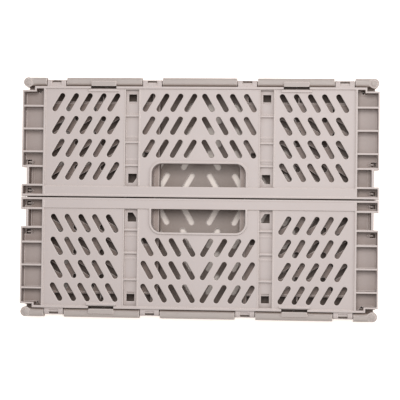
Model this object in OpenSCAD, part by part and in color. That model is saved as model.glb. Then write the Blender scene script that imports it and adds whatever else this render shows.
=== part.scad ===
// Collapsible storage crate, stored folded flat: base tray, two short end walls lying on
// its floor, two long side walls folded over them and meeting at the middle.
// X runs along the long sides, Y across, Z up. All sizes in millimetres.

/* [Overall] */
// Length over the side columns of the long walls
crate_length = 249.6; // [180:0.2:400]
// Width over the base's long rails
crate_width = 168.6; // [120:0.2:300]
// Thickness of every folding wall, from its outer to its inner face
wall_depth = 11; // [8:0.5:18]

/* [Hinges] */
// Distance of a hinge axis below the wall's outer face
axis_in = 4.0; // [3.4:0.1:5]
// Reach of a long rail's outer face from the hinge axis
rail_out = 4.0; // [3.4:0.1:6]
// Radius of a hinge rod
rod_r = 1.0; // [0.8:0.05:1.4]
// Radial running clearance of a knuckle on its rod
run_gap = 0.05; // [0.02:0.01:0.1]
// Outer radius of a wall's hinge knuckle
knuckle_r = 2.4; // [2.0:0.1:2.8]
// Width of a hinge knuckle
knuckle_w = 13.2; // [8:0.2:20]
// Gap between a knuckle and the rail bar beside it
knuckle_gap = 0.6; // [0.3:0.1:1.5]
// Distance of the inner pair of long-side knuckles from the middle
knuckle_in = 33.3; // [20:0.1:60]
// Distance of the outer long-side knuckles from the crate's end
knuckle_end = 23.8; // [22:0.1:40]
// Distance of the inner end-wall knuckles from the middle
end_knuckle_in = 15; // [10:0.5:25]
// Distance of the outer end-wall knuckles from the end wall's side
end_knuckle_out = 18; // [10:0.5:30]

/* [Clearances] */
// Gap between the two long walls where they meet
mid_gap = 1.0; // [0.4:0.1:3]
// Height of the gap between folded layers
layer_gap = 0.6; // [0.3:0.1:2]
// Height of a folded end wall above the floor
floor_gap = 0.3; // [0.3:0.1:2]
// Radial gap between rail bars and the swinging wall
swing_gap = 0.3; // [0.3:0.1:1]

/* [Long wall] */
// Width of the ribbed column at each end
column_w = 16.3; // [12:0.1:24]
// Wall of ribs and skins
skin = 1.6; // [1.2:0.1:2.5]
// Thickness of a thin rib
rib = 1.3; // [0.8:0.1:2]
// How far the slotted fields lie below the rim
recess = 1.2; // [0.4:0.1:2.5]
// Height of the smooth strip under the top rim
strip_h = 7.3; // [5:0.1:12]
// Distance of the recessed channel from the middle
channel_x = 47.2; // [40:0.1:60]
// Width of the recessed channel
channel_w = 9.2; // [6:0.1:14]
// Depth of the recessed channel
channel_d = 2.9; // [2:0.1:6]
// Width of the hand hole
hand_w = 65.8; // [50:0.2:80]
// Height of the hand hole
hand_h = 16.3; // [12:0.1:22]
// Corner radius of the hand hole
hand_r = 7; // [3:0.5:8]
// Step of the recess in the wall's bottom edge
notch_d = 2.1; // [0.5:0.1:2.4]
// Width of the recess in the wall's bottom edge
notch_w = 18; // [8:0.5:24]
// Distance of that recess from the middle
notch_x = 67.5; // [50:0.5:80]

/* [Slots] */
// Width of a vent slot in the long walls
slot_w = 3.7; // [2:0.1:5]
// Length of a vent slot in the long walls
slot_l = 14.3; // [8:0.1:20]
// Lean of the slots from the wall's foot
slot_a = 60; // [45:1:90]
// Spacing of slots along the wall
slot_px = 9.75; // [7:0.05:14]
// Spacing of the slot rows
slot_py = 16.07; // [13:0.01:22]
// Margin between a field's edge and its first slot
slot_m = 3.6; // [2:0.1:8]

/* [End wall] */
// Gap between an end wall's side and the tray's inner wall
end_gap = 7.1; // [5:0.1:12]
// Width of a vent slot in the end walls
end_slot_w = 3.8; // [2:0.1:5]
// Length of a vent slot in the end walls
end_slot_l = 17; // [8:0.5:20]
// Spacing of the end wall's slots across it
end_slot_py = 8.75; // [7:0.05:14]
// Spacing of the end wall's slot rows
end_slot_px = 18.7; // [13:0.1:26]
// Width of the end wall's hand hole
end_hand_w = 64.6; // [40:0.2:80]

/* [Base tray] */
// Height of the floor's top face
floor_top = 3.0; // [2.5:0.1:6]
// Thickness of the floor
floor_t = 1.8; // [1.2:0.1:3]
// Width of a floor slot
floor_slot_w = 3.8; // [2:0.1:5]
// Length of a floor slot
floor_slot_l = 16; // [8:0.2:18]
// Spacing of floor slots along the crate
floor_slot_px = 17.8; // [14:0.1:24]
// Spacing of floor slots across it
floor_slot_py = 16.5; // [14:0.1:24]
// Wall of the rails
rail_t = 1.5; // [1.2:0.1:2.5]
// Width of the raised pad on a rail
pad_w = 17.4; // [8:0.2:24]
// Radius of the corner knobs
knob_r = 3.5; // [3:0.1:4]

/* [Output] */
// Sub-part to draw

/* [Hidden] */
$fn = 32;
e = 0.02;
shell = [0.79, 0.75, 0.725];
shell_dark = [0.74, 0.70, 0.675];

hx = crate_length / 2;                 // outer face of the columns
hy = crate_width / 2;                  // outer face of the long rails
axis_y = hy - rail_out;                // long hinge axis
axis_x = hx - 0.8 - axis_in;           // end hinge axis
bore_r = rod_r + run_gap;
in_d = wall_depth - axis_in;           // hinge axis to a wall's inner face
end_z = floor_top + floor_gap + in_d;  // end hinge axis height
end_top = end_z + axis_in;
long_in = end_top + layer_gap;         // underside of the folded long walls
long_z = long_in + in_d;               // long hinge axis height
long_top = long_z + axis_in;
bar_r = 2.2;                           // rail bars around a hinge axis
foot = bar_r + swing_gap;              // wall's bottom edge from its axis
reach = axis_y - mid_gap / 2;          // long wall, axis to rim
end_reach = long_z + reach - end_z;    // end wall, axis to rim, so both rims are level when up
field_y1 = axis_y - foot - skin;       // long wall's field, hinge side
field_y0 = mid_gap / 2 + strip_h;      // and rim side
field_top = long_top - recess;
col_x = hx - column_w;                 // inner face of a column's inner rib
kn = [hx - knuckle_end, knuckle_in];
tray_y = axis_y - foot - 2.6;          // inner face of the tray's long sides
end_hy = tray_y - end_gap;             // half an end wall's width
ekn = [end_hy - end_knuckle_out, end_knuckle_in];
col_y1 = axis_y - 5.2;                 // hinge-side edge of a column
col_y0 = col_y1 - 1.2;
step_x = hx - 8.6;                     // end of a long wall's foot, where its column steps back
knob_x = hx - 0.2 - knob_r;
knob_y = hy - knob_r;
hook_h = [reach - 4.0, reach - 24.2];  // latch windows above the long hinge axis
out_wall = axis_y + knuckle_r;         // outer face of the tray's long walls
out_wall_x = axis_x + knuckle_r;

function count(room, size, pitch) = max(0, floor((room - size) / pitch + 1.001));
slot_hx = (slot_l - slot_w) * cos(slot_a) + slot_w;
slot_hy = (slot_l - slot_w) * sin(slot_a) + slot_w;
rows = count(field_y1 - field_y0 - 4, slot_hy, slot_py);
row0 = (field_y0 + field_y1) / 2 + 0.5 + (rows - 1) / 2 * slot_py;
side_x0 = channel_x + channel_w / 2 + 0.2;
side_x1 = col_x - 0.8;
side_n = count(side_x1 - side_x0 - 2 * slot_m, slot_hx, slot_px);
mid_n = count(channel_x - channel_w / 2 - slot_m + 1, slot_hx, slot_px);

// a stadium-shaped cut centred on the origin, leaning a degrees from X
module slot(l, w, a, z0, z1) {
  translate([0, 0, z0]) rotate([0, 0, a]) linear_extrude(z1 - z0) {
    square([l - w, w], center = true);
    for (s = [-1, 1]) translate([s * (l - w) / 2, 0]) circle(d = w);
  }
}

// a box from corner to corner
module box(a, b) { translate(a) cube([b[0] - a[0], b[1] - a[1], b[2] - a[2]]); }

// the same in both signs of X
module both_x() { children(); mirror([1, 0, 0]) children(); }
module both_y() { children(); mirror([0, 1, 0]) children(); }

// a flat profile (outwards, up), drawn about a long hinge axis and run along X
module along_x(x0, x1) {
  translate([x0, axis_y, long_z]) rotate([90, 0, 90]) linear_extrude(x1 - x0) children();
}
// the same about the right-hand end's hinge axis, run along Y
module along_y(y0, y1) {
  translate([axis_x, y1, end_z]) rotate([90, 0, 0]) linear_extrude(y1 - y0) children();
}

// a bar around a hinge axis: round towards the wall and outside, with a skirt hanging from it
module bar_profile(out, drop) {
  circle(r = bar_r);
  square([out - bar_r, bar_r]);
  translate([out - bar_r, 0]) circle(r = bar_r);
  translate([0, -drop]) square([out, drop]);
}

// ---------- long wall: drawn as the back one, folded ----------
// a hole with a straight lower edge at y0 and rounded upper corners
module hand_hole(w, h, r, y0) {
  translate([-w / 2, y0]) square([w, h - r]);
  translate([-w / 2 + r, y0]) square([w - 2 * r, h]);
  for (x = [-1, 1]) translate([x * (w / 2 - r), y0 + h - r]) circle(r = r);
}

module long_slots() {
  for (j = [0 : rows - 1]) {
    y = row0 - j * slot_py;
    for (i = [0 : side_n - 1])
      translate([(side_x0 + side_x1) / 2 + (i - (side_n - 1) / 2) * slot_px, y, 0])
        slot(slot_l, slot_w, 180 - slot_a, field_top - skin - 1, long_top + 1);
    if (y - slot_hy / 2 > field_y0 + hand_h + 1.5)
      for (i = [0 : mid_n - 1])
        translate([6.2 + i * slot_px, y, 0])
          slot(slot_l, slot_w, 180 - slot_a, field_top - skin - 1, long_top + 1);
  }
}

module long_knuckle(x) {
  difference() {
    along_x(x - knuckle_w / 2, x + knuckle_w / 2) {
      circle(r = knuckle_r);
      translate([-foot - 0.5, -knuckle_r]) square([foot + 0.5, 2 * knuckle_r]);
    }
    along_x(x - knuckle_w, x + knuckle_w) circle(r = bore_r);
    // pocket over the rod, with a slit right through beside it
    box([x - 3.3, axis_y - 1.2, long_z + bore_r + 0.45], [x + 3.3, axis_y + 0.6, long_top + 1]);
    box([x - 3.3, axis_y + 0.4, long_z - knuckle_r - 1], [x + 3.3, axis_y + 1.7, long_top + 1]);
  }
}

module wall_field() {
  difference() {
    union() {
      box([0, field_y0 - e, field_top - skin], [col_x, field_y1 + e, field_top]);
      // sides of the recessed channel, deep enough to stiffen the wall
      for (s = [-1, 1])
        box([channel_x + s * (channel_w / 2 + skin / 2) - skin / 2, field_y0 - e, long_in],
            [channel_x + s * (channel_w / 2 + skin / 2) + skin / 2, field_y1 + e, field_top]);
      for (s = [-1, 1])
        box([channel_x + s * (channel_w / 2 + 0.45) - 0.45, field_y0 + 0.2, field_top - 1],
            [channel_x + s * (channel_w / 2 + 0.45) + 0.45, field_y1 + e, field_top + 0.3]);
      // ribs under the skin, between the slot rows
      for (j = [0 : rows - 2]) {
        y = row0 - (j + 0.5) * slot_py;
        box([0, y - 0.6, long_in + 4], [col_x + e, y + 0.6, field_top - skin + e]);
      }
    }
    // (the channel itself)
    box([channel_x - channel_w / 2, field_y0 + 0.2, field_top - skin - 1],
        [channel_x + channel_w / 2, field_y1 - 0.6, long_top + 1]);
    long_slots();
  }
}

module channel_floor() {
  difference() {
    union() {
      box([channel_x - channel_w / 2 - e, field_y0 - e, field_top - channel_d - skin],
          [channel_x + channel_w / 2 + e, field_y1 + e, field_top - channel_d]);
      for (y = [row0 - 9.2, row0 - 27.9, row0 - 44])
        if (y > field_y0 + 11)
          box([channel_x - channel_w / 2 - e, y - 0.65, field_top - channel_d - e],
              [channel_x + channel_w / 2 + e, y + 0.65, field_top - 0.9]);
    }
    // upper window, square
    box([channel_x - 2.9, row0 - 0.5, long_in], [channel_x + 2.7, row0 + 6.0, long_top]);
    // lower window with one cut corner
    translate([0, 0, long_in]) linear_extrude(wall_depth)
      polygon([[channel_x + 2.6, field_y0 + 2.6], [channel_x + 2.6, field_y0 + 9.0],
               [channel_x - 3.4, field_y0 + 9.0], [channel_x - 3.4, field_y0 + 6.2],
               [channel_x - 0.9, field_y0 + 2.6]]);
  }
  // ledge inside the upper window
  box([channel_x - 2.9 - e, row0 - 0.5 - e, field_top - channel_d - skin],
      [channel_x + 2.7 + e, row0 + 1.0, field_top - channel_d - 1.0]);
}

module wall_column() {
  y_rim = mid_gap / 2;
  nt0 = y_rim + 8.4;   // notch for the end hinge
  nt1 = y_rim + 20.3;
  difference() {
    union() {
      // floor on the inner face
      box([col_x, y_rim, long_in], [hx, col_y1, long_in + skin]);
      box([col_x, col_y1 - e, long_in], [step_x, field_y1 + e, long_in + skin]);
      // inner rib, outer wall, rim and foot
      box([col_x, y_rim, long_in], [col_x + rib, field_y1 + skin, long_top]);
      box([hx - 0.9, y_rim, long_in], [hx, col_y1, long_top - 0.2]);
      box([col_x, y_rim, long_in], [hx, y_rim + 1.4, long_top - 0.2]);
      box([step_x - 1.2, col_y0, long_in], [hx, col_y1, long_top - 0.2]);
      box([step_x - 1.2, col_y0, long_in], [step_x, field_y1 + e, long_top]);
      // cross ribs, between the slot rows
      for (j = [0 : rows - 1]) {
        y = row0 - 2.7 - j * slot_py;
        if (y > nt1 + 4) box([col_x, y - rib / 2, long_in], [hx, y + rib / 2, long_top - 0.3]);
      }
      for (y = [nt0 - 0.65, nt1 + 0.65])
        box([col_x, y - rib / 2, long_in], [hx, y + rib / 2, long_top - 0.3]);
      // tab that meets the other wall's rim
      box([hx - 2.8, 0.16, long_z + 0.5], [hx, y_rim + e, long_top - 0.4]);
      // return of the outer wall around the notch
      box([hx - 5.1, nt0 - rib, long_in], [hx - 3.6, nt1 + rib, long_top - 0.2]);
    }
    box([hx - 3.6, nt0, long_in - 1], [hx + 1, nt1, long_top + 1]);
    box([hx - 7.0, nt0, long_in + skin - 0.9], [hx - 5.1, nt1, long_top + 1]);
    // latch windows
    for (h = hook_h)
      box([hx - 5.3, axis_y - h - 1.65, long_in - 1], [hx - 1.1, axis_y - h + 1.65, long_in + skin + 1]);
  }
  // tongue standing in each latch window
  for (h = hook_h)
    box([hx - 5.3 - e, axis_y - h - 0.45, long_in], [hx - 3.3, axis_y - h + 0.45, long_in + skin + 1.4]);
}

module long_wall() {
  y_rim = mid_gap / 2;
  foot_y = axis_y - foot;
  difference() {
    union() {
      difference() {
        both_x() {
          wall_field();
          channel_floor();
          wall_column();
          // rim: top strip, edge web and strip web
          box([0, y_rim, long_top - 0.2 - skin], [col_x + e, y_rim + strip_h, long_top - 0.2]);
          box([0, y_rim, long_in], [col_x + e, y_rim + 1.3, long_top]);
          box([0, y_rim + strip_h - 1.4, long_in], [col_x + e, y_rim + strip_h, long_top - 0.2]);
          // bottom flange, with the recess that clears the rail's pad
          difference() {
            box([0, field_y1, long_in], [step_x, foot_y, long_top]);
            box([notch_x - notch_w / 2, foot_y - notch_d, long_in - 1],
                [notch_x + notch_w / 2, foot_y + 1, long_top + 1]);
          }
          box([notch_x - notch_w / 2 - skin, foot_y - notch_d - skin, long_in],
              [notch_x + notch_w / 2 + skin, foot_y - notch_d, long_top]);
        }
        // hand hole through everything
        translate([0, 0, long_in - 1]) linear_extrude(wall_depth + 2)
          hand_hole(hand_w, hand_h, hand_r, field_y0);
      }
      // lip around the hand hole, down to the inner face
      translate([0, 0, long_in]) linear_extrude(wall_depth)
        difference() {
          hand_hole(hand_w + 2.8, hand_h + 1.4, hand_r + 1.4, field_y0 - e);
          translate([0, -1]) hand_hole(hand_w, hand_h, hand_r, field_y0);
          hand_hole(hand_w, hand_h, hand_r, field_y0);
        }
      both_x() for (x = kn) long_knuckle(x);
    }
    // small triangular opening beside the corner
    both_x() translate([0, 0, long_in - 1]) linear_extrude(wall_depth + 2)
      polygon([[step_x - 4.0, field_y1 - 0.1], [step_x - 1.4, field_y1 - 0.1],
               [step_x - 1.4, col_y1 - 0.4], [step_x - 2.2, col_y1 - 1.5]]);
  }
}

// ---------- end wall: drawn as the right-hand one, folded ----------
module end_slots() {
  n = count(end_hy - 4, 0, end_slot_py);
  m = count(end_reach - 8 - 16, end_slot_l * 0.87, end_slot_px);
  for (j = [0 : m], i = [0 : n - 1]) {
    x = axis_x - 19.5 - j * end_slot_px;
    y = 6.9 + i * end_slot_py;
    clear_rim = x - end_slot_l / 2 > axis_x - end_reach + 9;
    clear_hand = x > axis_x - end_reach + 32 || y > end_hand_w / 2 + 13;
    if (clear_rim && clear_hand && y + end_slot_l * 0.25 + 2 < end_hy - 1.5) both_y()
      translate([x, y, 0]) slot(end_slot_l, end_slot_w, -30, end_top - 0.3 - skin - 1, end_top + 1);
  }
}

module end_knuckle(y) {
  difference() {
    along_y(y - knuckle_w / 2, y + knuckle_w / 2) {
      circle(r = knuckle_r);
      translate([-foot - 0.5, -knuckle_r]) square([foot + 0.5, 2 * knuckle_r]);
    }
    along_y(y - knuckle_w, y + knuckle_w) circle(r = bore_r);
  }
}

module end_wall() {
  xr = axis_x - end_reach;  // rim
  xf = axis_x - foot;       // foot
  low = end_z - in_d;
  difference() {
    union() {
      box([xr, -end_hy, end_top - 0.3 - skin], [xf, end_hy, end_top - 0.3]);
      both_y() box([xr, end_hy - rib, low], [xf, end_hy, end_top]);
      box([xf - skin, -end_hy, low], [xf, end_hy, end_top]);
      // rim strip and its webs
      box([xr, -end_hy, end_top - skin], [xr + 3.3, end_hy, end_top]);
      box([xr, -end_hy, low], [xr + 1.3, end_hy, end_top]);
      box([xr + strip_h - 1.4, -end_hy, low], [xr + strip_h, end_hy, end_top - 0.3]);
      // frame around the hand hole
      both_y() box([xr + strip_h - e, end_hand_w / 2, low], [xr + strip_h + hand_h, end_hand_w / 2 + 1.4, end_top - 0.1]);
      box([xr + strip_h + hand_h, -end_hand_w / 2 - 1.4, low], [xr + strip_h + hand_h + 1.4, end_hand_w / 2 + 1.4, end_top - 0.1]);
    }
    box([xr + strip_h, -end_hand_w / 2, low - 1], [xr + strip_h + hand_h, end_hand_w / 2, end_top + 1]);
    end_slots();
  }
  both_y() {
    for (y = ekn) end_knuckle(y);
    // thin spacer rib on the side edge
    box([xr + 40.3, end_hy - e, end_z - 1], [xr + 41.1, end_hy + 3.6, end_top - 0.8]);
    // hooks that reach the long walls' latch windows when both are up
    for (h = hook_h) {
      x = axis_x - (long_z + h - end_z);
      box([x - 1.3, end_hy - e, end_z - 0.7], [x + 1.3, tray_y - 0.6, end_top - 0.6]);
    }
  }
}

// ---------- base tray ----------
module floor_slots() {
  x0 = floor_slot_px / 2 + 0.45;
  y0 = floor_slot_py / 2 + 3.15;
  half_x = (floor_slot_l - floor_slot_w) * cos(60) / 2 + floor_slot_w / 2;
  half_y = (floor_slot_l - floor_slot_w) * sin(60) / 2 + floor_slot_w / 2;
  nx = count(out_wall_x - 5 - x0 - half_x, 0, floor_slot_px);
  ny = count(tray_y - 2 - y0 - half_y, 0, floor_slot_py);
  for (i = [0 : nx - 1], j = [0 : ny - 1]) both_x() both_y()
    translate([x0 + i * floor_slot_px, y0 + j * floor_slot_py, 0])
      slot(floor_slot_l, floor_slot_w, 120, -1, floor_top + 1);
}

module rail_bar(x0, x1) {
  difference() {
    along_x(x0, x1) bar_profile(rail_out, 3.6);
    along_x(x0 - 1, x1 + 1) circle(r = bore_r);
  }
}

module end_bar(y0, y1) {
  difference() {
    along_y(y0, y1) bar_profile(axis_in, 3.2);
    along_y(y0 - 1, y1 + 1) circle(r = bore_r);
  }
}

module long_rail() {
  g = knuckle_w / 2 + knuckle_gap;
  shelf = long_in - 1.4;
  // inner wall, shelf and outer wall
  box([-out_wall_x, tray_y, floor_top - floor_t], [out_wall_x, tray_y + rail_t, shelf]);
  box([-out_wall_x, tray_y, shelf - rail_t], [out_wall_x, out_wall, shelf]);
  box([-out_wall_x, out_wall - rail_t, 0], [out_wall_x, out_wall, long_z - knuckle_r - 0.6]);
  // bars between the knuckles
  rail_bar(-kn[1] + g, kn[1] - g);
  both_x() {
    rail_bar(kn[1] + g, kn[0] - g);
    // raised pad facing the wall's recess
    box([notch_x - pad_w / 2, axis_y - bar_r, long_z + bore_r + 0.3],
        [notch_x + pad_w / 2, axis_y + 1.2, long_z + bar_r + 1.1]);
    // webs that carry the bars
    for (x = [-kn[1] + g + 1, kn[1] + g + 1, (kn[0] + kn[1]) / 2, kn[0] - g - 1])
      box([x - 0.7, out_wall - rail_t - 3, shelf - e], [x + 0.7, out_wall - 0.4, long_z - 2]);
  }
}

module corner() {
  x0 = kn[0] + knuckle_w / 2 + knuckle_gap;
  difference() {
    union() {
      along_x(x0, knob_x) bar_profile(rail_out, 3.6);
      along_x(x0 + 5, knob_x) bar_profile(rail_out, long_z - 8);
      // post from the ground, under a wider knob with a raised disc
      translate([knob_x, knob_y + 0.5, 0]) cylinder(r = knob_r - 0.9, h = long_z);
      translate([knob_x, knob_y, long_z - 2.5]) cylinder(r = knob_r, h = 2.5 + bar_r);
      translate([knob_x, knob_y, long_z]) cylinder(r = knob_r - 1, h = bar_r + 0.3);
      // foot of the post and outer skin down to the ground
      box([hx - 6.2, col_y1 + 0.4, 0], [knob_x, axis_y + 0.4, long_in - 1.6]);
      box([x0, tray_y, 0], [knob_x, tray_y + rail_t, floor_top]);
      box([x0, out_wall - rail_t, 0], [knob_x, out_wall, 9]);
    }
    along_x(x0 - 1, hx - 5) circle(r = bore_r);
  }
}

module end_rail() {
  g = knuckle_w / 2 + knuckle_gap;
  box([out_wall_x - rail_t, -tray_y - e, 0], [out_wall_x, tray_y + e, end_z - knuckle_r - 0.6]);
  difference() {
    union() {
      end_bar(-ekn[1] + g, ekn[1] - g);
      both_y() {
        end_bar(ekn[1] + g, ekn[0] - g);
        end_bar(ekn[0] + g, tray_y + 1.2);
      }
    }
    // openings under the long walls' latch windows
    both_y() for (h = hook_h)
      box([axis_x - 3, axis_y - h - 2.2, end_z - knuckle_r - 0.6], [hx + 1, axis_y - h + 2.2, end_top]);
  }
}

module base_tray() color(shell_dark) {
  difference() {
    union() {
      box([-out_wall_x, -tray_y - rail_t, floor_top - floor_t], [out_wall_x, tray_y + rail_t, floor_top]);
      // stacking skirt
      difference() {
        box([-out_wall_x + 3, -tray_y, 0], [out_wall_x - 3, tray_y, floor_top - e]);
        box([-out_wall_x + 4.6, -tray_y + 1.6, -1], [out_wall_x - 4.6, tray_y - 1.6, floor_top + 1]);
      }
    }
    floor_slots();
  }
  both_y() long_rail();
  both_x() {
    end_rail();
    both_y() corner();
  }
}

module front_long_wall() color(shell) rotate([0, 0, 180]) long_wall();
module back_long_wall() color(shell) long_wall();
module right_end_wall() color(shell) end_wall();
module left_end_wall() color(shell) rotate([0, 0, 180]) end_wall();

module back_hinge_rod() color(shell)
  along_x(-hx + 5.6, hx - 5.6) circle(r = rod_r);
module front_hinge_rod() color(shell) rotate([0, 0, 180]) back_hinge_rod();
module right_hinge_rod() color(shell)
  along_y(-tray_y + 0.4, tray_y - 0.4) circle(r = rod_r);
module left_hinge_rod() color(shell) rotate([0, 0, 180]) right_hinge_rod();

base_tray();
front_long_wall();
back_long_wall();
left_end_wall();
right_end_wall();
front_hinge_rod();
back_hinge_rod();
left_hinge_rod();
right_hinge_rod();
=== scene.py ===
import math

import bmesh
import bpy
from bpy.props import FloatProperty, FloatVectorProperty, PointerProperty
from mathutils import Euler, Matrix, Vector


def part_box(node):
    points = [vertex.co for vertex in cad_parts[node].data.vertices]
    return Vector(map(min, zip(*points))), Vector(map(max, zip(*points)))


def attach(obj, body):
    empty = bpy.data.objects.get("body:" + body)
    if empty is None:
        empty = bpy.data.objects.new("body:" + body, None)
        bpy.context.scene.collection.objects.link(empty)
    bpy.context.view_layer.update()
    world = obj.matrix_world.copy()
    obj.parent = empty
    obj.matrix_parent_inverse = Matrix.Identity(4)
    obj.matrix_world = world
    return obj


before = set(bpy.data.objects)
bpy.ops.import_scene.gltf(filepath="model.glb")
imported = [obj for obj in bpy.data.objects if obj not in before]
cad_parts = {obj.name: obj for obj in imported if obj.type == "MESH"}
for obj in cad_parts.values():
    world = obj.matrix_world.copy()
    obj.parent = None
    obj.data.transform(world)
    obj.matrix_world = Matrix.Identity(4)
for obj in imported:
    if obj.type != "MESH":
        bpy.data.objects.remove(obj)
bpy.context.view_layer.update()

bl_info = {
    "name": "Folded storage crate",
    "version": (1, 0, 0),
    "blender": (4, 5, 0),
    "location": "View3D > Sidebar > Crate",
    "description": "Dresses the folded crate: moulded plastic, soft edges, small mouldings, studio",
    "category": "Object",
}

MM = 0.001
RECESS_SHADE_TINT = (0.46, 0.375, 0.32)           # painted shade: the share of the plastic's colour that the deepest recesses keep
WALLS = {"back_long_wall": "back_wall", "front_long_wall": "front_wall"}
ENDS = ("left_end_wall", "right_end_wall")
WALL_PLASTIC = "moulded polypropylene, long walls"
# the walls' plastic again, with painted shade that reaches farther and spreads wider
END_PLASTIC = "moulded polypropylene, end walls"
TRAY_PLASTIC = "moulded polypropylene, tray"
RODS = ("front_hinge_rod", "back_hinge_rod", "left_hinge_rod", "right_hinge_rod")
LATCH_IN = 3.2 * MM                  # latch windows, from the wall's end to their middle
LATCH_UP = (4.34 * MM, 24.54 * MM)   # and from the wall's edge beside the middle gap
PLATE = 1.6 * MM                     # floor of a wall's end column, above the wall's inner face
KNOB_R = 3.5 * MM                    # corner knob, and how far its disc lies under the rail pads
KNOB_DROP = 0.8 * MM
END_RAIL_IN = 2.1 * MM               # outer face of the tray's end, inside its knobs
FLOOR_GAP = 0.3 * MM                 # tray floor below the folded end walls
LUG_LOW = 3.4 * MM                   # latch lugs: underside of the foot, its top, and the tab's thickness
LUG_FOOT = 6.6 * MM
LUG_TAB = 1.3 * MM
MARK_X = (0, 53.85 * MM, 107.25 * MM)    # ejector marks, between the floor's slots
MARK_Y = (0, 52.65 * MM)
SINK = 0.1 * MM                      # how far a ring or a cap's foot starts inside the plastic
FLOOR_HALF = 3.0                     # half the studio floor's side, in metres
SHADE_SHEET_IN = 6 * MM                    # edge of the sheet of painted shade under the tray, inside the tray's


def linear(hex_text):
    """sRGB hex to linear red, green, blue."""
    parts = [int(hex_text[i:i + 2], 16) / 255 for i in (1, 3, 5)]
    return tuple(c / 12.92 if c <= 0.04045 else ((c + 0.055) / 1.055) ** 2.4 for c in parts)


# ---------- materials ----------

def add(tree, kind, links=None, sockets=None, **settings):
    """One shader node with its settings, socket values and incoming links."""
    n = tree.nodes.new(kind)
    for key, value in settings.items():
        setattr(n, key, value)
    for key, value in (sockets or {}).items():
        n.inputs[key].default_value = value
    for key, source in (links or {}).items():
        tree.links.new(source, n.inputs[key])
    return n


def moulded_polypropylene(name, colour, highlight_colour, roughness, reach=14 * MM, hold=2.4):
    """Injection-moulded polypropylene: a soft waxy satin from the spark-eroded mould, faint flow
    clouding, a painted highlight that leaves edges a touch paler, and painted shade that makes recesses
    darker and browner. Reach is how far off a neighbour still shades a recess, and a lower hold lets the
    painted shade spread."""
    mat = bpy.data.materials.new(name)
    mat.use_nodes = True
    t = mat.node_tree
    t.nodes.clear()
    place = add(t, "ShaderNodeTexCoord")
    # flow clouding, patches about 25 mm across
    cloud = add(t, "ShaderNodeTexNoise", {"Vector": place.outputs["Object"]},
                {"Scale": 1 / (25 * MM), "Detail": 2.0, "Roughness": 0.5})
    # fine mottling, about 1.5 mm
    fleck = add(t, "ShaderNodeTexNoise", {"Vector": place.outputs["Object"]},
                {"Scale": 1 / (1.5 * MM), "Detail": 3.0, "Roughness": 0.6})
    # mould grain: real pits are about 0.1 mm, drawn 0.35 mm across so that they show
    pits = add(t, "ShaderNodeTexNoise", {"Vector": place.outputs["Object"]},
               {"Scale": 1 / (0.35 * MM), "Detail": 2.0, "Roughness": 0.55})
    dark = [c * 0.955 for c in colour]
    tone = add(t, "ShaderNodeMix", {"Factor": cloud.outputs["Fac"]}, data_type="RGBA")
    tone.inputs["A"].default_value = (*dark, 1)
    tone.inputs["B"].default_value = (*[min(1, c * 1.03) for c in colour], 1)
    speck = add(t, "ShaderNodeMapRange", {"Value": fleck.outputs["Fac"]},
                {"From Min": 0.3, "From Max": 0.7, "To Min": 0.975, "To Max": 1.02})
    shade = add(t, "ShaderNodeVectorMath", {0: tone.outputs["Result"], "Scale": speck.outputs["Result"]},
                operation="SCALE")
    # recesses: painted shade, darker and browner where neighbours hem the plastic in, in place of the shade
    # and bounced light that fall there
    open_sky = add(t, "ShaderNodeAmbientOcclusion", None, {"Distance": reach}, samples=8)
    deep = add(t, "ShaderNodeMapRange", {"Value": open_sky.outputs["AO"]},
               {"From Min": 0.15, "From Max": 0.95, "To Min": 1.0, "To Max": 0.0})
    shade_weight = add(t, "ShaderNodeMath", {0: deep.outputs["Result"]}, {1: hold}, operation="POWER")
    recess = add(t, "ShaderNodeMix", {"Factor": shade_weight.outputs["Value"], "A": shade.outputs["Vector"]},
                 data_type="RGBA")
    recess.inputs["B"].default_value = (*[c * k for c, k in zip(colour, RECESS_SHADE_TINT)], 1)
    # painted highlight: paler where two faces meet, as a rounded edge catches the light; the rounded normal
    # leaves the flat one
    soft = add(t, "ShaderNodeBevel", None, {"Radius": 1.0 * MM}, samples=6)
    flat = add(t, "ShaderNodeNewGeometry")
    turn = add(t, "ShaderNodeVectorMath", {0: soft.outputs["Normal"], 1: flat.outputs["Normal"]},
               operation="DOT_PRODUCT")
    painted_highlight = add(t, "ShaderNodeMapRange", {"Value": turn.outputs["Value"]},
               {"From Min": 0.999, "From Max": 0.93, "To Min": 0.0, "To Max": 0.95})
    edge = add(t, "ShaderNodeMix", {"Factor": painted_highlight.outputs["Result"], "A": recess.outputs["Result"]},
               data_type="RGBA")
    edge.inputs["B"].default_value = (*highlight_colour, 1)
    rough = add(t, "ShaderNodeMapRange", {"Value": fleck.outputs["Fac"]},
                {"From Min": 0.3, "From Max": 0.7, "To Min": roughness - 0.05, "To Max": roughness + 0.06})
    bump = add(t, "ShaderNodeBump", {"Height": pits.outputs["Fac"], "Normal": soft.outputs["Normal"]},
               {"Strength": 0.25, "Distance": 0.04 * MM})
    skin = add(t, "ShaderNodeBsdfPrincipled",
               {"Base Color": edge.outputs["Result"], "Roughness": rough.outputs["Result"],
                "Normal": bump.outputs["Normal"]},
               {"IOR": 1.49, "Specular IOR Level": 0.45})
    skin.inputs["Subsurface Weight"].default_value = 0.04
    skin.inputs["Subsurface Radius"].default_value = (0.6 * MM, 0.45 * MM, 0.35 * MM)
    skin.inputs["Subsurface Scale"].default_value = 1.0
    add(t, "ShaderNodeOutputMaterial", {"Surface": skin.outputs["BSDF"]})
    return mat


def material(name):
    if name not in bpy.data.materials:
        raise RuntimeError(f"{name} isn't made yet: run the plastics operator first")
    return bpy.data.materials[name]


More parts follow.
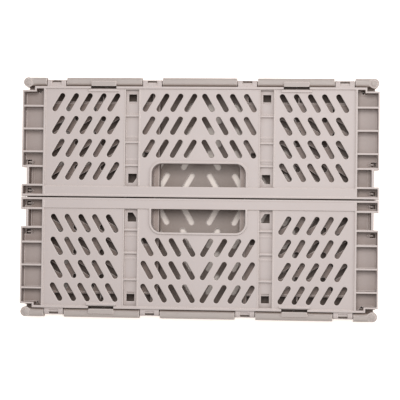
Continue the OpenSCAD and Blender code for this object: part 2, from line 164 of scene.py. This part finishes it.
def finish_node(name, mat, radius, angle=35):
    """Gives a CAD node its plastic and its moulded edge radius, by modifiers only."""
    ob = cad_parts[name]
    if len(ob.material_slots) == 0:
        ob.data.materials.append(mat)
    for slot in ob.material_slots:
        slot.link = "OBJECT"
        slot.material = mat
    if radius > 0:
        # the CAD's split and near-flat facets are joined first, so that the radius runs cleanly
        weld = ob.modifiers.new("weld", "WELD")
        weld.merge_threshold = 0.05 * MM
        flats = ob.modifiers.new("flats", "DECIMATE")
        flats.decimate_type = "DISSOLVE"
        flats.angle_limit = math.radians(1.5)
        bevel = ob.modifiers.new("edge radius", "BEVEL")
        bevel.width = radius
        bevel.segments = 2
        bevel.limit_method = "ANGLE"
        bevel.angle_limit = math.radians(angle)
        bevel.use_clamp_overlap = True
        smooth = ob.modifiers.new("soft shading", "WEIGHTED_NORMAL")
        smooth.keep_sharp = True
    return ob


# ---------- pieces in mesh code ----------

def lathe(bm, centre, outline, ring=False, steps=32):
    """Turns an outline of (radius, height) points about the vertical line through centre. A ring's
    outline closes on itself, and a solid one's starts and ends at radius 0."""
    rings = []
    for radius, height in outline:
        if radius == 0:
            rings.append([bm.verts.new((centre[0], centre[1], height))])
            continue
        turns = [2 * math.pi * i / steps for i in range(steps)]
        around = [(centre[0] + radius * math.cos(a), centre[1] + radius * math.sin(a)) for a in turns]
        rings.append([bm.verts.new((x, y, height)) for x, y in around])
    following = rings[1:] + rings[:1] if ring else rings[1:]
    for low, high in zip(rings, following):
        for i in range(steps):
            j = (i + 1) % steps
            corners = [low[i % len(low)], low[j % len(low)], high[j % len(high)], high[i % len(high)]]
            bm.faces.new(list(dict.fromkeys(corners)))


def dome(radius, base, rise, steps=8):
    """Outline of a low dome from its rim up to its middle."""
    angles = [math.pi / 2 * i / steps for i in range(steps)]
    return [(radius * math.cos(a), base + rise * math.sin(a)) for a in angles] + [(0, base + rise)]


def raised_ring(outer, inner, base, height, soft):
    """Outline of a raised ring with its two upper corners rounded off by soft."""
    top = base + height
    return [(inner, base), (outer, base), (outer, top - soft), (outer - soft, top),
            (inner + soft, top), (inner, top - soft)]


def prism(bm, outline, low_y, high_y):
    """Runs an outline of (x, z) points along Y."""
    near = [bm.verts.new((x, low_y, z)) for x, z in outline]
    far = [bm.verts.new((x, high_y, z)) for x, z in outline]
    bm.faces.new(near)
    bm.faces.new(far)
    for i in range(len(outline)):
        j = (i + 1) % len(outline)
        bm.faces.new((near[i], near[j], far[j], far[i]))


def piece(name, bm, body, mat, smooth_angle=40, radius=0):
    """Closes a mesh under construction into a piece that rides on a CAD body."""
    bmesh.ops.recalc_face_normals(bm, faces=bm.faces)
    mesh = bpy.data.meshes.new(name)
    bm.to_mesh(mesh)
    bm.free()
    mesh.shade_smooth()
    mesh.set_sharp_from_angle(angle=math.radians(smooth_angle))
    mesh.materials.append(mat)
    ob = bpy.data.objects.new(name, mesh)
    bpy.context.scene.collection.objects.link(ob)
    if radius > 0:
        bevel = ob.modifiers.new("edge radius", "BEVEL")
        bevel.width = radius
        bevel.segments = 3
        bevel.limit_method = "ANGLE"
    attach(ob, body)
    return ob


def lit_from_below(name, colour, light, roughness, strength):
    """A matt white sheet of the studio with a little light coming up through it."""
    mat = bpy.data.materials.new(name)
    mat.use_nodes = True
    shader = mat.node_tree.nodes["Principled BSDF"]
    shader.inputs["Base Color"].default_value = (*colour, 1)
    shader.inputs["Roughness"].default_value = roughness
    shader.inputs["Emission Color"].default_value = (*light, 1)
    shader.inputs["Emission Strength"].default_value = strength
    return mat


def stage_sheet(name, half_x, half_y, z, mat):
    """A flat sheet of the studio, which isn't part of the crate."""
    bm = bmesh.new()
    bmesh.ops.create_grid(bm, x_segments=1, y_segments=1, size=1)
    bmesh.ops.scale(bm, vec=(half_x, half_y, 1), verts=bm.verts)
    mesh = bpy.data.meshes.new(name)
    bm.to_mesh(mesh)
    bm.free()
    mesh.materials.append(mat)
    ob = bpy.data.objects.new(name, mesh)
    ob.location.z = z
    bpy.context.scene.collection.objects.link(ob)


def latch_places(body):
    """Centres of one long wall's four latch windows, from that wall's box: two at each end."""
    wall = {b: n for n, b in WALLS.items()}[body]
    low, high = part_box(wall)
    side = 1 if body == "back_wall" else -1
    rim = min(abs(low.y), abs(high.y))
    return [(end * (high.x - LATCH_IN), side * (rim + up)) for end in (-1, 1) for up in LATCH_UP]


# ---------- settings ----------

class CrateSizes(bpy.types.PropertyGroup):
    wall_edge: FloatProperty(name="Wall edge radius", description="Moulded radius on the walls' edges",
                             default=0.22 * MM, min=0, max=1 * MM, unit="LENGTH")
    base_edge: FloatProperty(name="Base edge radius", description="Moulded radius on the tray's edges",
                             default=0.22 * MM, min=0, max=1 * MM, unit="LENGTH")
    cap_radius: FloatProperty(name="Knob cap radius", description="Radius of a corner knob's domed cap",
                              default=2.2 * MM, min=1 * MM, max=2.4 * MM, unit="LENGTH")
    cap_rise: FloatProperty(name="Knob cap rise", description="Height of a knob cap's dome",
                            default=0.45 * MM, min=0.1 * MM, max=0.6 * MM, unit="LENGTH")
    boss_radius: FloatProperty(name="Latch boss radius", description="Outer radius beside a latch window",
                               default=0.9 * MM, min=0.5 * MM, max=1.2 * MM, unit="LENGTH")
    boss_height: FloatProperty(name="Latch boss height", description="Height over the column's floor",
                               default=1.2 * MM, min=0.5 * MM, max=3 * MM, unit="LENGTH")
    boss_in: FloatProperty(name="Latch boss distance", description="From a window's middle to its boss",
                           default=3.2 * MM, min=3 * MM, max=5 * MM, unit="LENGTH")
    lug_width: FloatProperty(name="Latch lug width", description="Width of a lug under a latch window",
                             default=4.2 * MM, min=2 * MM, max=4.4 * MM, unit="LENGTH")
    lug_out: FloatProperty(name="Latch lug reach", description="How far a lug stands out of the tray's end",
                           default=2.0 * MM, min=1.5 * MM, max=2.1 * MM, unit="LENGTH")
    lug_top: FloatProperty(name="Latch lug top", description="Height of a lug's tab above the ground",
                           default=12.6 * MM, min=8 * MM, max=12.7 * MM, unit="LENGTH")
    wall_roughness: FloatProperty(name="Wall roughness", description="Roughness of the walls' satin",
                                  default=0.48, min=0.1, max=1, subtype="FACTOR")
    base_roughness: FloatProperty(name="Base roughness", description="Roughness of the tray's satin",
                                  default=0.5, min=0.1, max=1, subtype="FACTOR")


class CrateColours(bpy.types.PropertyGroup):
    wall: FloatVectorProperty(name="Walls", description="Warm greige plastic of the folding walls",
                              default=linear("#B5AAA7"), size=3, min=0, max=1, subtype="COLOR")
    base: FloatVectorProperty(name="Tray", description="Warm greige plastic of the base tray",
                              default=linear("#A69C97"), size=3, min=0, max=1, subtype="COLOR")
    # painted highlight: the paler colour laid on rounded edges where they catch the light
    edge: FloatVectorProperty(name="Edges", description="Paler plastic on rounded edges",
                              default=linear("#D2C6C1"), size=3, min=0, max=1, subtype="COLOR")
    floor: FloatVectorProperty(name="Studio floor", description="Plain pale floor",
                               default=linear("#FBF8F6"), size=3, min=0, max=1, subtype="COLOR")
    # painted shade: colour of the sheet under the tray, which stands in for the shade there
    shade_paint: FloatVectorProperty(name="Shade sheet", description="Sheet that lies under the tray, painted as its shade",
                               default=linear("#EAE0D9"), size=3, min=0, max=1, subtype="COLOR")
    table: FloatVectorProperty(name="Table light", description="Warm white light from under the floor",
                               default=(1.0, 0.90, 0.83), size=3, min=0, max=1, subtype="COLOR")


# ---------- operators ----------

class CRATE_OT_plastics(bpy.types.Operator):
    """Makes the plastics and dresses every CAD part with its plastic and edge radius"""
    bl_idname = "crate.plastics"
    bl_label = "Plastics and edges"

    def execute(self, context):
        size, colour = context.scene.crate_sizes, context.scene.crate_colours
        wall = moulded_polypropylene(WALL_PLASTIC, colour.wall, colour.edge,
                                     roughness=size.wall_roughness)
        # painted shade: the tray's recesses darken from farther off
        base = moulded_polypropylene(TRAY_PLASTIC, colour.base, colour.edge,
                                     roughness=size.base_roughness, reach=40 * MM, hold=1.2)
        # painted shade: the end walls darken from farther off and wider, so they look shaded under the long
        # walls
        lying = moulded_polypropylene(END_PLASTIC, colour.wall, colour.edge,
                                      roughness=size.wall_roughness, reach=40 * MM, hold=1.0)
        for name in WALLS:
            finish_node(name, wall, size.wall_edge)
        for name in ENDS:
            finish_node(name, lying, size.wall_edge)
        finish_node("base_tray", base, size.base_edge)
        for name in RODS:
            finish_node(name, base, 0)
        return {"FINISHED"}


class CRATE_OT_knob_caps(bpy.types.Operator):
    """Makes the low domed caps on the tray's four corner knobs"""
    bl_idname = "crate.knob_caps"
    bl_label = "Knob caps"

    def execute(self, context):
        size = context.scene.crate_sizes
        _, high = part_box("base_tray")
        seat = high.z - KNOB_DROP
        foot = seat - 2 * SINK
        rim = seat + 0.15 * MM
        outline = [(0, foot), (size.cap_radius, foot), *dome(size.cap_radius, rim, size.cap_rise)]
        bm = bmesh.new()
        for x in (-1, 1):
            for y in (-1, 1):
                lathe(bm, (x * (high.x - KNOB_R), y * (high.y - KNOB_R)), outline)
        piece("knob_caps", bm, "base", material(TRAY_PLASTIC))
        return {"FINISHED"}


class CRATE_OT_latch_bosses(bpy.types.Operator):
    """Makes the small hollow bosses beside the long walls' latch windows"""
    bl_idname = "crate.latch_bosses"
    bl_label = "Latch bosses"

    def execute(self, context):
        size = context.scene.crate_sizes
        for wall, body in WALLS.items():
            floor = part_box(wall)[0].z + PLATE
            outline = raised_ring(size.boss_radius, size.boss_radius * 0.5, floor - SINK,
                                  SINK + size.boss_height, 0.12 * MM)
            bm = bmesh.new()
            for x, y in latch_places(body):
                inwards = x - math.copysign(size.boss_in, x)
                lathe(bm, (inwards, y), outline, ring=True, steps=24)
            piece("latch_bosses_" + body.split("_")[0], bm, body, material(WALL_PLASTIC))
        return {"FINISHED"}


class CRATE_OT_latch_lugs(bpy.types.Operator):
    """Makes the lugs on the tray's ends that lie under the folded walls' latch windows"""
    bl_idname = "crate.latch_lugs"
    bl_label = "Latch lugs"

    def execute(self, context):
        size = context.scene.crate_sizes
        _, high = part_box("base_tray")
        face = high.x - END_RAIL_IN
        bm = bmesh.new()
        for body in WALLS.values():
            for x, y in latch_places(body):
                # a foot on the tray's end and a tab that stands up from its outer edge
                inner, outer = face - 3 * SINK, face + size.lug_out
                tab = outer - LUG_TAB
                outline = ((inner, LUG_LOW), (outer, LUG_LOW), (outer, size.lug_top), (tab, size.lug_top),
                           (tab, LUG_FOOT), (inner, LUG_FOOT))
                side = math.copysign(1, x)
                half = size.lug_width / 2
                prism(bm, [(side * a, b) for a, b in outline], y - half, y + half)
        piece("latch_lugs", bm, "base", material(TRAY_PLASTIC), radius=0.3 * MM)
        return {"FINISHED"}


class CRATE_OT_ejector_marks(bpy.types.Operator):
    """Makes the faint rings that the mould's ejector pins leave on the tray's floor"""
    bl_idname = "crate.ejector_marks"
    bl_label = "Ejector marks"

    def execute(self, context):
        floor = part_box("left_end_wall")[0].z - FLOOR_GAP
        signs = (-1, 1)
        places = {(sx * x, sy * y) for x in MARK_X for y in MARK_Y for sx in signs for sy in signs}
        outline = raised_ring(2.6 * MM, 2.25 * MM, floor - SINK, SINK + 0.12 * MM, 0.05 * MM)
        bm = bmesh.new()
        for place in sorted(places):
            lathe(bm, place, outline, ring=True)
        piece("ejector_marks", bm, "base", material(TRAY_PLASTIC))
        return {"FINISHED"}


class CRATE_OT_stage(bpy.types.Operator):
    """Makes the pale floor, the soft studio lights and the camera"""
    bl_idname = "crate.stage"
    bl_label = "Studio"

    def execute(self, context):
        scene = context.scene
        colour = scene.crate_colours
        # an opal acrylic light table: white, and lit from below, so that shadows stay faint
        acrylic = lit_from_below("opal acrylic, light table", colour.floor, colour.table, 0.9, 0.7)
        stage_sheet("studio_floor", FLOOR_HALF, FLOOR_HALF, -0.2 * MM, acrylic)
        # painted shade: a pale sheet inside the tray's outline with little table light of its own, so that
        # the floor seen up through its slots looks shaded
        shade_paint = lit_from_below("painted shade sheet", colour.shade_paint, colour.table, 0.95, 0.07)
        _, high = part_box("base_tray")
        stage_sheet("sheet_of_painted_shade", high.x - SHADE_SHEET_IN, high.y - SHADE_SHEET_IN, -0.1 * MM, shade_paint)

        world = bpy.data.worlds.new("soft studio")
        world.use_nodes = True
        back = world.node_tree.nodes["Background"]
        back.inputs["Color"].default_value = (1, 1, 1, 1)
        back.inputs["Strength"].default_value = 0.42
        scene.world = world

        for name, place, width, watts in (
                ("overhead softbox", (0.06, 0.17, 0.90), 0.40, 6.2),
                ("side softbox", (0.75, 0.10, 0.6), 0.5, 1.6)):
            data = bpy.data.lights.new(name, "AREA")
            data.shape = "SQUARE"
            data.size = width
            data.energy = watts
            data.color = (1.0, 0.99, 0.985)
            lamp = bpy.data.objects.new(name, data)
            lamp.location = place
            lamp.rotation_mode = "QUATERNION"
            lamp.rotation_quaternion = (-Vector(place)).to_track_quat("-Z", "Y")
            scene.collection.objects.link(lamp)

        lens = bpy.data.cameras.new("camera")
        lens.sensor_width = 36
        lens.lens = 113.35
        lens.clip_start, lens.clip_end = 0.01, 20
        camera = bpy.data.objects.new("camera", lens)
        camera.location = (0.0642, -0.0207, 0.900)
        camera.rotation_euler = Euler([math.radians(a) for a in (1.325, 4.102, 0.728)], "XYZ")
        scene.collection.objects.link(camera)
        scene.camera = camera
        scene.view_settings.view_transform = "Standard"
        return {"FINISHED"}


class CRATE_PT_panel(bpy.types.Panel):
    """The crate's pieces, sizes and colours"""
    bl_idname = "CRATE_PT_panel"
    bl_label = "Folded crate"
    bl_space_type = "VIEW_3D"
    bl_region_type = "UI"
    bl_category = "Crate"

    def draw(self, context):
        column = self.layout.column()
        for group in (context.scene.crate_sizes, context.scene.crate_colours):
            for key in group.__annotations__:
                column.prop(group, key)
        for operator in OPERATORS:
            column.operator(operator.bl_idname)


OPERATORS = (CRATE_OT_plastics, CRATE_OT_knob_caps, CRATE_OT_latch_bosses, CRATE_OT_latch_lugs,
             CRATE_OT_ejector_marks, CRATE_OT_stage)
CLASSES = (CrateSizes, CrateColours, *OPERATORS, CRATE_PT_panel)


def register():
    for cls in CLASSES:
        bpy.utils.register_class(cls)
    bpy.types.Scene.crate_sizes = PointerProperty(type=CrateSizes)
    bpy.types.Scene.crate_colours = PointerProperty(type=CrateColours)


def unregister():
    del bpy.types.Scene.crate_colours
    del bpy.types.Scene.crate_sizes
    for cls in reversed(CLASSES):
        bpy.utils.unregister_class(cls)


def main():
    register()
    for operator in OPERATORS:
        group, name = operator.bl_idname.split(".")
        getattr(getattr(bpy.ops, group), name)()


if __name__ == "__main__":
    main()
